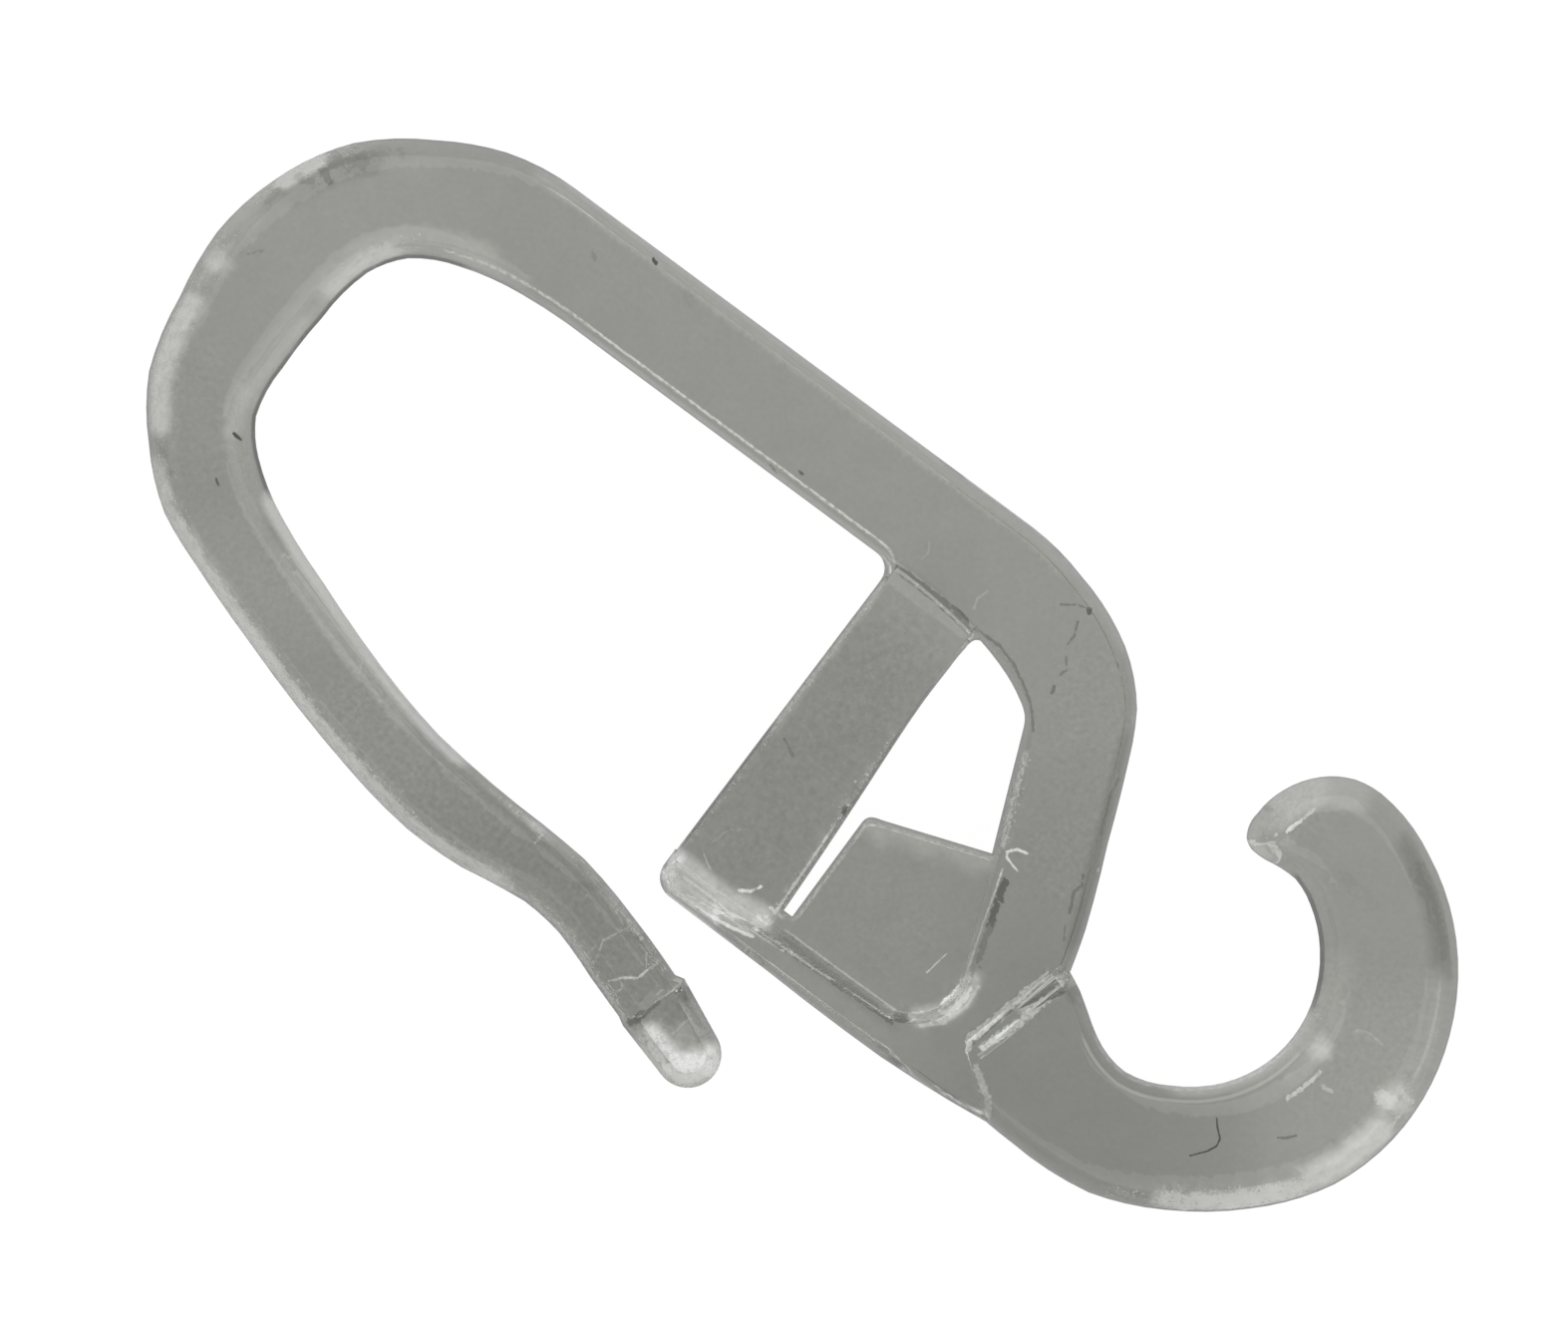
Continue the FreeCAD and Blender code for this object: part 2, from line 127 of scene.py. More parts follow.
# Fine marks: scratches, crazing and dirt, and painted highlights and painted shade along edges, corners, the rib
# and the bead. A light one shows on both faces of the plastic and a dark one lies on the upper face. The skin gets
# a finer net under each of them, so that it keeps its shape. A mark is its points in order, its width, and how
# strong it is.
scratch_and_highlight_marks = [
    # cracks and crazing across the arm, and a painted highlight on the step before the bead
    ([(0.04, -5.86), (-0.3, -6.57), (-0.12, -7.12)], 0.05, 0.2),
    ([(1.15, -6.2), (1.05, -6.55), (0.98, -6.8), (0.7, -7.0), (0.42, -7.3)], 0.06, 0.5),
    ([(1.95, -6.28), (1.82, -6.7), (1.7, -7.03)], 0.06, 0.35),
    ([(-3.15, -5.32), (-3.18, -5.58)], 0.06, 0.35),
    # scratches on the back, at the web's tip and on the web
    ([(2.3, 6.5), (2.2, 6.15), (2.28, 5.9)], 0.05, 0.12),
    ([(0.35, 6.6), (0.5, 6.35), (0.45, 6.1)], 0.04, 0.08),
    ([(7.1, 1.68), (6.85, 1.62), (6.65, 1.42), (6.74, 1.28), (6.95, 1.22), (7.13, 1.18)], 0.06, 1.0),
    ([(6.5, 1.15)], 0.14, 0.35),
    ([(6.97, -1.6), (6.9, -2.0), (6.85, -2.3)], 0.04, 0.4),
    # the small hook: painted highlights on its outer edge, on the rim of its pin mark and beside the throat
    ([(16.72, 1.38), (16.95, 1.4)], 0.12, 0.4),
    ([(18.35, 2.45), (18.75, 2.42)], 0.15, 0.7),
    ([(18.0, 2.05), (18.7, 2.15)], 0.28, 0.3),
    ([(18.72, 1.9), (18.7, 1.4)], 0.08, 0.6),
    ([(16.5, 2.9), (16.6, 3.1), (16.9, 3.2), (17.3, 3.15)], 0.06, 0.12),
    ([(16.42, 1.65), (16.36, 1.3), (16.24, 0.9), (16.15, 0.6)], 0.1, 1.0),
    ([(16.43, 1.62)], 0.12, 0.8),
    ([(16.28, 1.0)], 0.14, 0.9),
    ([(16.15, 0.63)], 0.12, 0.9),
    # a painted white highlight streak on the left bend
    ([(-18.4, 4.2), (-18.2, 4.7), (-18.08, 5.05)], 0.26, 1.0),
    ([(-18.5, 4.12)], 0.12, 0.9),
    ([(-18.5, 3.95)], 0.14, 0.8),
    ([(-18.02, 5.25)], 0.15, 0.9),
    ([(-17.85, 5.42)], 0.11, 0.6),
    # painted highlights on the bevel of the tip, and at the cross-bar's root
    ([(12.1, 6.08), (12.2, 6.5), (12.3, 6.95)], 0.09, 0.9),
    ([(-0.4, 5.6), (-0.1, 5.5), (0.0, 5.38)], 0.07, 0.7),
    ([(2.67, 5.35), (2.65, 4.9)], 0.06, 0.4),
    # painted highlights on the cross-bar's foot: round its pin mark, along its rounded corner and on the wedge
    ([(1.75, -3.45), (2.0, -3.3), (2.13, -3.05)], 0.08, 0.8),
    ([(0.45, -3.25), (0.8, -3.45)], 0.06, 0.2),
    ([(-0.13, -3.7), (-0.08, -4.2), (0.1, -4.44), (0.35, -4.52)], 0.12, 1.0),
    ([(0.35, -4.5), (1.0, -4.48), (1.6, -4.42), (2.2, -4.33), (2.7, -4.2)], 0.08, 0.9),
    ([(0.4, -4.02), (1.4, -4.02)], 0.06, 0.5),
    ([(2.6, -3.85), (2.75, -3.78)], 0.32, 0.55),
    ([(2.65, -3.35)], 0.12, 0.8),
    ([(2.82, -3.35)], 0.12, 0.8),
    ([(0.45, -2.9), (0.6, -2.4), (1.0, -2.05)], 0.04, 0.06),
    # painted highlights where the web meets the right bar and the bottom bar
    ([(6.83, 0.98), (7.0, 0.4), (7.25, -0.45), (7.5, -1.2), (7.72, -1.85)], 0.05, 0.55),
    ([(3.3, -3.57), (5.0, -3.57), (6.9, -3.55)], 0.05, 0.25),
    # painted highlights on the two sides of the neck's rib, and on the step under it
    ([(9.33, -0.5), (9.2, -1.1)], 0.14, 0.7),
    ([(9.2, -1.1), (9.0, -2.0), (8.72, -3.0)], 0.2, 0.75),
    ([(8.72, -3.0), (8.86, -3.25)], 0.15, 0.6),
    ([(9.8, -0.5), (9.7, -1.0)], 0.14, 1.0),
    ([(9.7, -1.0), (9.5, -1.9), (9.28, -2.6)], 0.2, 1.0),
    ([(9.25, -2.6), (9.12, -3.0)], 0.14, 0.7),
    ([(9.3, -3.5), (9.6, -3.7), (10.0, -3.95)], 0.16, 0.25),
    ([(10.05, -4.0), (10.2, -4.25)], 0.2, 0.35),
    ([(9.0, -4.52), (9.9, -4.4), (10.25, -4.28)], 0.07, 0.6),
    # painted highlights on the web's rounded corner
    ([(7.77, -1.8), (7.75, -2.3), (7.68, -2.7)], 0.16, 1.0),
    ([(7.95, -2.0), (7.95, -2.6), (7.7, -3.05), (7.2, -3.45)], 0.2, 0.65),
    ([(8.12, -1.8), (8.17, -2.4), (7.95, -3.1), (7.5, -3.5)], 0.07, 0.3),
    # painted highlights on the bead's rounded end and lower rim
    ([(2.56, -7.42), (2.65, -6.84)], 0.05, 0.1),
    ([(2.2, -7.85), (2.5, -8.0), (2.8, -8.1)], 0.25, 0.75),
    ([(3.1, -8.1), (3.4, -8.15), (3.65, -7.95), (3.85, -7.55)], 0.5, 1.0),
]
# Dark marks: a fibre, dirt, smudges and crazing, and painted shade along the cross-bar's root, inside the right
# bend, beside the web, at the neck and in the bottom bar
dirt_and_shade_marks = [
    # the fibre on the small hook, and the dirt and smudges beside it
    ([(15.0, -0.88), (15.15, -1.05), (15.38, -1.25), (15.42, -1.45), (15.3, -1.7), (15.02, -2.05)], 0.045, 1.0),
    ([(16.55, -0.35), (16.7, -0.25), (16.9, -0.03)], 0.06, 0.7),
    ([(14.05, 6.05), (14.3, 5.95)], 0.3, 0.16),
    ([(14.7, 5.95), (14.9, 5.85)], 0.3, 0.12),
    # specks and smudges on the left bend, the tip, the back and the arm
    ([(-9.62, 8.2), (-9.5, 8.15)], 0.1, 1.0),
    ([(-17.65, 5.35), (-17.1, 5.8)], 0.4, 0.42),
    ([(-17.2, 5.78), (-17.05, 5.85)], 0.2, 0.6),
    ([(-17.75, 5.02), (-17.5, 4.85)], 0.2, 0.6),
    ([(-18.1, 4.5), (-17.85, 4.55)], 0.24, 0.45),
    ([(-17.0, 6.1), (-16.8, 6.3)], 0.3, 0.25),
    ([(-18.35, 3.95), (-18.4, 3.5)], 0.16, 0.3),
    ([(-16.5, 6.6), (-16.3, 6.5)], 0.15, 0.25),
    ([(15.3, 7.3), (16.0, 6.9), (16.6, 6.45)], 0.3, 0.3),
    ([(16.75, 6.35), (17.2, 5.9)], 0.2, 0.25),
    ([(11.35, 6.25), (11.4, 6.3)], 0.12, 0.35),
    ([(-8.4, 8.0), (-8.25, 7.9)], 0.2, 0.16),
    ([(-3.4, 6.08), (-3.3, 6.05)], 0.08, 0.9),
    ([(-4.1, 5.75), (-3.85, 5.68)], 0.05, 0.7),
    ([(-10.95, 7.4), (-10.85, 7.33)], 0.12, 0.35),
    ([(-15.58, -1.75), (-15.35, -1.77)], 0.08, 1.0),
    ([(-15.25, -2.95), (-15.1, -3.05)], 0.06, 0.9),
    ([(-18.0, 2.15), (-17.75, 2.45)], 0.07, 0.35),
    # crazing in the right bend and the right bar
    ([(4.0, 7.3), (4.35, 7.55), (4.65, 7.65)], 0.06, 0.6),
    ([(4.65, 7.63), (4.7, 7.58)], 0.12, 0.9),
    ([(4.6, 7.2), (4.75, 6.85), (4.75, 6.6)], 0.06, 0.6),
    ([(4.9, 6.3), (5.12, 6.05), (5.05, 5.85)], 0.06, 0.55),
    ([(5.1, 5.5), (5.15, 5.35)], 0.08, 0.7),
    ([(7.85, 4.6), (7.88, 4.2), (8.05, 3.8), (8.3, 3.2)], 0.07, 0.5),
    ([(8.55, 2.1), (8.7, 1.85), (8.62, 1.6), (8.78, 1.3), (8.85, 1.1)], 0.07, 0.6),
    ([(8.95, 0.8), (9.15, 0.45)], 0.05, 0.5),
    # specks on the cross-bar, the groove before the bead, and a smudge on the arm
    ([(0.35, 0.35), (0.62, 0.22), (0.8, 0.12)], 0.06, 0.5),
    ([(2.66, -0.15), (2.7, -0.3)], 0.13, 0.9),
    ([(1.78, -6.95), (1.66, -7.45)], 0.09, 0.65),
    ([(1.63, -7.5), (1.52, -7.86)], 0.2, 0.75),
    ([(-1.15, -5.42), (-1.65, -5.8)], 0.16, 0.3),
    # shade along the cross-bar's root, inside the right bend, beside the web, at the neck and in the bottom bar
    ([(0.1, 5.6), (1.0, 5.6), (1.9, 5.59), (2.3, 5.56)], 0.12, 0.8),
    ([(0.1, 5.53), (1.3, 5.49), (2.5, 5.41)], 0.12, 0.75),
    ([(2.6, 5.52), (3.3, 5.5)], 0.08, 0.6),
    ([(3.3, 5.55), (4.0, 5.33), (4.6, 5.0), (5.0, 4.7), (5.35, 4.3)], 0.07, 0.6),
    ([(7.05, 0.78), (7.22, 0.25), (7.42, -0.35)], 0.18, 0.85),
    ([(7.42, -0.35), (7.75, -1.35)], 0.15, 0.5),
    ([(9.65, -0.2), (9.75, -0.32)], 0.22, 0.4),
    ([(9.87, -0.66)], 0.08, 0.5),
    ([(3.4, -3.74), (5.2, -3.76), (6.3, -3.73)], 0.18, 0.45),
    ([(2.8, -3.97), (3.6, -3.95), (5.2, -3.9), (6.9, -3.85)], 0.1, 0.65),
]


far_off = 1e9


def off_line(points, mark):
    """How far each point is from the run of straight lines, or the one point, that a mark is."""
    nearest = np.full(len(points), far_off)
    for a, b in zip(np.array(mark), np.array(mark[1:] or mark)):
        share = np.clip((points - a) @ (b - a) / max((b - a) @ (b - a), 1e-9), 0, 1)
        nearest = np.minimum(nearest, np.linalg.norm(points - a - share[:, None] * (b - a), axis=1))
    return nearest


# The net under a mark is a share of its width, and up to half a millimetre round it. The upper and lower faces
# have an even net along their rim, which grows inwards.
any_length = 9.0
finer_within = 0.5
coarsest_near_mark = 0.3
outer_net = 0.22
outer_zone = 0.8
net_growth = 0.8
light_fineness, dark_fineness = 0.85, 0.75
halvings = 6


def near_marks(points, lengths, marks, fineness):
    """The length that the marks want of each edge: a share of their width, growing away from the mark."""
    wanted = np.full(len(points), any_length)
    for mark, width, _ in marks:
        low, high = np.min(mark, axis=0) - finer_within, np.max(mark, axis=0) + finer_within
        close = np.nonzero(((points > low) & (points < high)).all(axis=1))[0]
        size = np.maximum(width * fineness, (off_line(points[close], mark) - lengths[close] / 2) * 1.5)
        wanted[close] = np.minimum(wanted[close], np.where(size < coarsest_near_mark, size, any_length))
    return wanted


for _ in range(halvings):
    edges = list(skin.edges)
    ends = np.array([[v.co[:] for v in e.verts] for e in edges]) / mm
    middles, lengths = ends.mean(axis=1), np.linalg.norm(ends[:, 0] - ends[:, 1], axis=1)
    level = np.abs(ends[:, 0, 2] - ends[:, 1, 2]) < same_height
    near_face = np.abs(middles[:, 2] - parting_z) > 0.8 * parting_z
    inward = np.array([outline.find((x, y, 0))[2] for x, y, z in middles])
    wanted = np.where(level & near_face, np.maximum(outer_net, (inward - outer_zone) * net_growth), any_length)
    wanted = np.minimum(wanted, near_marks(middles[:, :2], lengths, scratch_and_highlight_marks, light_fineness))
    for_dark = near_marks(middles[:, :2], lengths, dirt_and_shade_marks, dark_fineness)
    for_dark = np.where(middles[:, 2] > parting_z, for_dark, any_length)
    too_long = np.nonzero(lengths > np.minimum(wanted, for_dark))[0]
    bmesh.ops.subdivide_edges(skin, edges=[edges[i] for i in too_long], cuts=1, use_grid_fill=True)
    bmesh.ops.triangulate(skin, faces=[f for f in skin.faces if len(f.verts) > 4])

for face in skin.faces:
    face.smooth = True
for edge in skin.edges:
    bend = edge.calc_face_angle(0.0) if len(edge.link_faces) == 2 else 0.0
    edge.smooth = bend < soft_angle and not on_parting_line(edge)

hook_mesh = bpy.data.meshes.new("hook")
skin.to_mesh(hook_mesh)
skin.free()
hook = bpy.data.objects.new("hook", hook_mesh)
bpy.context.scene.collection.objects.link(hook)
even = hook.modifiers.new("face normals", "WEIGHTED_NORMAL")
even.keep_sharp = True
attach(hook, "root")
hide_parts("curtain_hook")

# How light the clear plastic looks from place to place: darker towards -Y, lighter or darker in broad areas, and
# with painted light and shade along its rounded edges in the bands below. An area is a centre, its reach each way
# and how much lighter or darker it is.
tone_slope = 0.012
tone_level_y = 7.0
areas = [
    ((-17.0, 2.0), (5.0, 7.5), 0.09),
    ((-10.0, -5.5), (6.5, 3.5), 0.07),
    ((-2.0, -6.2), (5.0, 2.5), -0.08),
    ((3.0, -7.5), (1.6, 1.6), -0.06),
    ((1.3, 1.0), (2.4, 6.5), -0.1),
    ((11.8, -2.8), (5.2, 4.5), -0.1),
    ((-13.0, -4.3), (3.0, 1.5), 0.08),
    ((17.9, 1.6), (3.2, 4.0), 0.15),
    ((8.0, 1.5), (3.0, 4.0), -0.07),
    ((5.0, -4.2), (4.5, 1.0), 0.07),
]
# A band of painted light, or of painted shade where its amount is below 0, follows a line of points, out to its
# reach. It keeps to a stretch of the rounded edge, measured in from the outline.
inner_bend = [
    (-13.5, 5.35), (-14.8, 4.85), (-15.4, 4.0), (-15.65, 2.5),
    (-15.7, 0.5), (-15.6, -0.7), (-15.2, -1.6), (-14.2, -2.4),
]
arm_inside = [(-13.6, -2.75), (-11.0, -3.8), (-8.5, -4.55), (-6.3, -4.95)]
arm_outside = [(-16.6, -3.9), (-14.5, -5.0), (-12.0, -5.9), (-9.0, -6.7), (-5.0, -7.2), (-3.5, -7.1)]
throat = [(15.45, 1.3), (15.0, 0.2), (14.2, -0.7), (13.0, -1.3), (11.6, -1.25)]
hook_outside = [(17.6, -1.3), (17.0, -2.1), (16.2, -2.8), (15.4, -3.35)]
bead_rim = [(2.2, -7.9), (2.8, -8.1), (3.3, -8.05), (3.65, -7.5)]
everywhere = (-1.0, 9.0)
painted_light_and_shade_bands = [
    ([(-18.8, 3.0), (-18.2, 5.2), (-16.6, 7.2), (-14.5, 8.2), (-12.5, 8.4)], 0.9, (-0.2, 0.4), 0.12),
    ([(-18.75, 2.6), (-18.6, 0.3), (-17.8, -2.2), (-17.0, -3.2)], 1.0, (0.06, 0.7), 0.28),
    ([(-18.5, 1.5)], 0.42, (0.1, 0.8), 1.25),
    ([(-18.4, 0.1), (-18.1, -1.1), (-17.8, -1.8), (-17.35, -2.5)], 0.6, (0.08, 0.6), 1.7),
    ([(-16.9, -3.2), (-16.5, -3.6)], 0.4, (0.05, 0.7), -0.3),
    ([(-15.3, -4.5), (-13.8, -5.1), (-11.5, -5.8)], 0.6, (-0.2, 0.35), 0.5),
    ([(-18.7, 3.7), (-18.35, 4.7), (-17.8, 5.7)], 0.5, (-0.2, 0.2), 0.3),
    ([(-18.1, 4.2), (-17.6, 5.2), (-17.0, 5.9)], 0.6, (0.3, 0.95), -0.22),
    ([(-17.0, 6.4), (-15.8, 7.3), (-14.5, 7.9)], 0.6, (0.15, 0.6), -0.08),
    (arm_outside, 0.7, (-0.2, 0.36), 1.5),
    (arm_inside, 0.6, (-0.2, 0.22), 2.7),
    ([(-12.3, -3.7), (-10.0, -4.5), (-8.0, -5.0)], 0.7, (0.25, 0.6), 0.35),
    ([(-3.6, -7.0), (-2.5, -6.9), (-0.7, -7.2)], 0.6, (-0.2, 0.5), 0.35),
    ([(-6.3, -4.95), (-3.0, -5.2), (0.0, -5.7)], 0.5, (-0.2, 0.2), 0.25),
    (inner_bend, 1.2, (0.1, 0.8), 0.3),
    ([(-15.8, 1.4), (-15.8, -0.6)], 0.6, (0.1, 0.5), 0.3),
    ([(-13.8, 5.6), (-12.1, 5.75)], 0.4, (0.1, 0.4), 0.35),
    ([(-15.4, 4.15), (-15.6, 3.8), (-15.8, 3.0)], 0.75, (0.1, 0.5), 1.3),
    ([(-16.1, -0.9), (-15.8, -1.6)], 0.5, (0.25, 0.8), 0.45),
    ([(-13.5, 5.4), (-10.0, 5.6), (-0.5, 5.6)], 0.6, (-0.2, 0.22), 0.2),
    ([(-13.0, 8.4), (4.0, 8.4), (6.0, 7.7)], 0.6, (-0.2, 0.35), 0.5),
    ([(7.6, 5.4), (9.4, 0.8)], 0.6, (-0.2, 0.35), -0.28),
    ([(0.2, 4.9), (2.4, 4.9)], 0.9, everywhere, 0.06),
    ([(2.4, -6.3), (3.3, -6.75)], 0.5, everywhere, -0.42),
    ([(3.4, -3.85), (7.0, -3.8)], 0.3, everywhere, -0.12),
    ([(3.5, -0.15), (6.4, 0.85)], 0.35, everywhere, 0.25),
    (bead_rim, 0.6, everywhere, 1.4),
    ([(2.8, -7.3)], 0.5, everywhere, 0.3),
    ([(-12.5, -3.2), (-9.0, -4.4), (-4.0, -5.2)], 0.8, (0.3, 0.6), 0.08),
    ([(0.05, 5.0), (0.0, 0.4)], 0.3, (-0.2, 0.15), 0.3),
    ([(0.3, -3.85), (1.5, -3.9), (2.55, -3.7)], 0.5, everywhere, 0.75),
    ([(-0.1, -3.7), (0.05, -4.4), (0.6, -4.55), (1.6, -4.5)], 0.3, everywhere, 0.9),
    ([(1.6, -4.2), (2.4, -4.1)], 0.3, everywhere, 0.35),
    ([(7.9, -1.8), (8.0, -2.3), (7.82, -2.85), (7.4, -3.3)], 0.36, everywhere, 0.6),
    ([(15.5, 4.0), (15.8, 3.2), (15.9, 1.6)], 1.0, (0.2, 0.9), 0.22),
    ([(15.95, 2.15)], 0.5, (0.4, 1.05), 0.5),
    ([(18.4, 2.2)], 0.6, (0.08, 1.1), 0.7),
    ([(18.5, 1.2), (18.35, 0.4), (18.05, -0.5)], 0.65, (0.08, 0.8), 1.9),
    (hook_outside, 0.7, (0.05, 0.5), 1.4),
    ([(9.62, -0.55), (9.32, -1.5)], 0.25, everywhere, 0.6),
    ([(10.0, -0.4), (10.3, -0.5)], 0.3, everywhere, -0.3),
    ([(11.9, 5.6)], 0.45, everywhere, -0.4),
    ([(17.3, -1.7), (16.2, -2.8)], 0.5, (0.1, 0.5), 1.4),
    ([(18.6, 3.4), (18.2, 4.6), (17.7, 5.4)], 0.7, (0.3, 0.75), 0.2),
    ([(15.0, 7.7), (16.3, 7.0), (17.4, 5.9)], 0.7, (0.2, 0.8), -0.42),
    ([(11.6, 5.7), (11.6, 6.6), (12.0, 7.4), (12.7, 7.8)], 0.9, (-0.2, 0.8), 0.6),
    ([(11.6, 6.7), (12.0, 7.4)], 0.6, everywhere, 0.55),
    ([(15.55, 2.4), (15.4, 0.9), (14.9, 0.1), (14.0, -0.8)], 0.5, (-0.1, 0.2), 0.75),
    ([(16.1, 2.12)], 0.42, everywhere, 0.75),
    ([(-18.4, 4.25), (-18.05, 5.15)], 0.35, everywhere, 2.2),
]
# Where the mould was rough the plastic is hazy, given as a band is, with how hazy it is. The haze also sets painted
# glints, white specks that grow denser where it is hazier.
frost_and_glint_bands = [
    ([(-18.6, 1.8), (-18.4, -0.5), (-17.6, -2.5), (-16.5, -4.0)], 1.0, (-0.2, 0.8), 0.55),
    ([(-18.7, 3.6), (-18.4, 4.8), (-17.8, 5.8)], 0.7, (-0.2, 0.3), 0.6),
    ([(-17.4, 5.5), (-15.8, 7.2), (-14.5, 7.9)], 0.8, (0.2, 0.9), 0.12),
    (arm_outside, 0.7, (-0.2, 0.5), 0.85),
    ([(-2.2, -6.95), (-0.5, -7.2), (0.8, -7.7)], 0.5, (-0.2, 0.35), 0.8),
    (bead_rim, 0.5, everywhere, 1.0),
    ([(7.8, -1.9), (7.9, -2.5), (7.6, -3.2), (7.1, -3.5)], 0.6, everywhere, 0.3),
    (hook_outside, 0.8, (0.05, 0.6), 1.3),
    ([(15.2, -3.5), (14.2, -4.0)], 0.6, (0.05, 0.6), 0.6),
    ([(18.6, 2.6), (18.6, 1.0), (18.0, -0.8)], 1.0, (-0.2, 1.1), 0.35),
    ([(0.2, -4.0), (2.8, -3.9)], 0.6, everywhere, 0.25),
    ([(0.0, 5.0), (0.0, -3.0)], 0.3, (-0.2, 0.2), 0.7),
    ([(2.75, 2.0), (2.85, -3.3)], 0.35, (-0.2, 0.3), 0.8),
    ([(5.7, 3.5), (6.35, 1.7)], 0.4, (-0.2, 0.4), 0.7),
    ([(-14.9, 4.85), (-15.7, 3.4)], 0.7, (-0.2, 0.7), 0.4),
]
# Grainy places, as a line of points, a reach and how much coarser than the rest they are
grainy = [
    ([(-8.5, -5.8), (-2.0, -6.1), (1.2, -6.9)], 1.6, 2.6),
    ([(-17.5, -1.5), (-14.5, -3.9), (-10.0, -5.3)], 1.6, 1.2),
    ([(5.0, -1.5)], 2.4, 0.7),
    ([(1.3, 4.0), (1.3, -2.5)], 1.8, 2.2),
    ([(6.0, 6.0), (8.0, 2.0)], 1.6, 1.5),
    ([(16.8, 3.0)], 3.0, 1.0),
    ([(2.6, -7.3)], 1.2, 2.5),
    ([(11.8, 6.6)], 1.4, 2.0),
]
# A thread of painted light along the rounded edge, or of painted shade in the dark list: its points, reach, how far
# in from the outline, its width and its strength. Where two threads run side by side, the second is in the second
# list.
threads = [
    ([(-13.6, 5.5), (-0.6, 5.6)], 0.6, 0.27, 0.08, 0.9),
    (arm_inside, 0.6, 0.12, 0.18, 0.75),
    ([(-12.5, -5.8), (-10.0, -6.5), (-7.0, -7.05), (-4.0, -7.1)], 0.6, 0.28, 0.14, 0.9),
    ([(-2.6, -6.85), (-0.5, -7.3), (1.3, -7.95)], 0.5, 0.12, 0.1, 0.5),
    (throat, 0.5, 0.06, 0.1, 0.6),
    (hook_outside, 0.6, 0.28, 0.3, 0.5),
    ([(0.0, 4.9), (-0.05, 0.4)], 0.35, 0.1, 0.08, 0.6),
    ([(2.75, -1.0), (2.85, -3.4)], 0.3, 0.15, 0.08, 0.7),
    ([(5.75, 3.5), (6.35, 1.7)], 0.4, 0.2, 0.14, 0.8),
    ([(3.25, -0.1), (3.25, -3.0)], 0.3, 0.12, 0.09, 0.55),
    ([(3.6, 0.0), (6.4, 1.05)], 0.3, 0.14, 0.1, 0.4),
]
second_threads = [
    ([(-15.15, 4.25), (-15.5, 3.7), (-15.65, 3.2)], 0.6, 0.2, 0.22, 0.6),
    ([(-15.4, -1.9), (-13.5, -2.9), (-11.5, -3.65), (-9.5, -4.3)], 0.9, 0.6, 0.3, 0.1),
    (throat, 0.7, 0.36, 0.09, 0.4),
    ([(18.6, 3.4), (18.0, 5.0)], 0.7, 0.5, 0.1, 0.25),
    ([(-12.5, -3.4), (-10.0, -4.2), (-8.5, -4.65), (-6.5, -5.0)], 0.6, 0.1, 0.24, 0.45),
]
dark_threads = [
    (inner_bend, 0.45, 0.0, 0.2, 0.95),
    ([(13.2, 5.25), (14.0, 4.75), (14.8, 4.05), (15.25, 3.2)], 0.4, 0.04, 0.16, 0.85),
    ([(-0.1, 0.2), (-0.2, -3.2)], 0.3, 0.04, 0.09, 0.7),
    ([(2.65, 3.5), (2.7, 0.0)], 0.3, 0.06, 0.09, 0.5),
    ([(3.0, -4.6), (9.0, -4.6)], 0.3, 0.02, 0.06, 0.5),
    ([(18.95, 2.5), (18.75, 0.3), (18.0, -1.3), (16.5, -3.1), (15.2, -3.9)], 0.4, 0.0, 0.1, 0.5),
]


soft_start, soft_end = 0.05, 0.1
full_share = 0.4


def ease(values, low, high):
    """0 up to low and 1 from high on, with a smooth rise between."""
    step = np.clip((values - low) / (high - low), 0, 1)
    return step * step * (3 - 2 * step)


def stretch(span):
    """1 for the points whose depth in from the outline lies in the span, with soft ends."""
    start, end = span
    after_start = ease(depth, start - soft_start, start + soft_start)
    return after_start * (1 - ease(depth, end - soft_end, end + soft_end))


def along(points, reach):
    """1 near the line, falling to 0 at its reach."""
    return 1 - ease(off_line(plan, points), reach * full_share, reach)


def thread_layer(lines):
    """For each point, the depth, width and strength of the thread that is nearest to it."""
    nearest, found = np.full(count, far_off), np.zeros((count, 3))
    for points, reach, inward, width, strength in lines:
        away = off_line(plan, points) / reach
        closer = away < nearest
        fading = strength * (1 - ease(away, 0.6, 1.0))
        found[closer] = np.stack([np.full(count, inward), np.full(count, width), fading], axis=1)[closer]
        nearest = np.minimum(nearest, away)
    return found


count = len(hook_mesh.vertices)
places = np.empty(count * 3, dtype=np.float32)
hook_mesh.vertices.foreach_get("co", places)
places = places.reshape(count, 3)
plan = places[:, :2].astype(float) / mm
off_parting = np.abs(places[:, 2] / mm - parting_z) / parting_z
upper = places[:, 2] / mm > parting_z
depth = np.array([outline.find((x, y, 0))[2] for x, y in plan])
on_flat = np.zeros(count, dtype=bool)
for face in hook_mesh.polygons:
    if is_flat(face):
        on_flat[list(face.vertices)] = True
layers = {
    "outline depth": depth,
    "tone": 1.0 - tone_slope * (tone_level_y - plan[:, 1]),
    "frost_and_glints": np.zeros(count),
    "grain": np.ones(count),
}
for centre, reach, amount in areas:
    away = (((plan - np.array(centre)) / np.array(reach)) ** 2).sum(axis=1)
    layers["tone"] += amount * np.clip(1 - away, 0, 1) ** 0.9
for points, reach, span, amount in painted_light_and_shade_bands:
    layers["tone"] += amount * along(points, reach) * stretch(span)
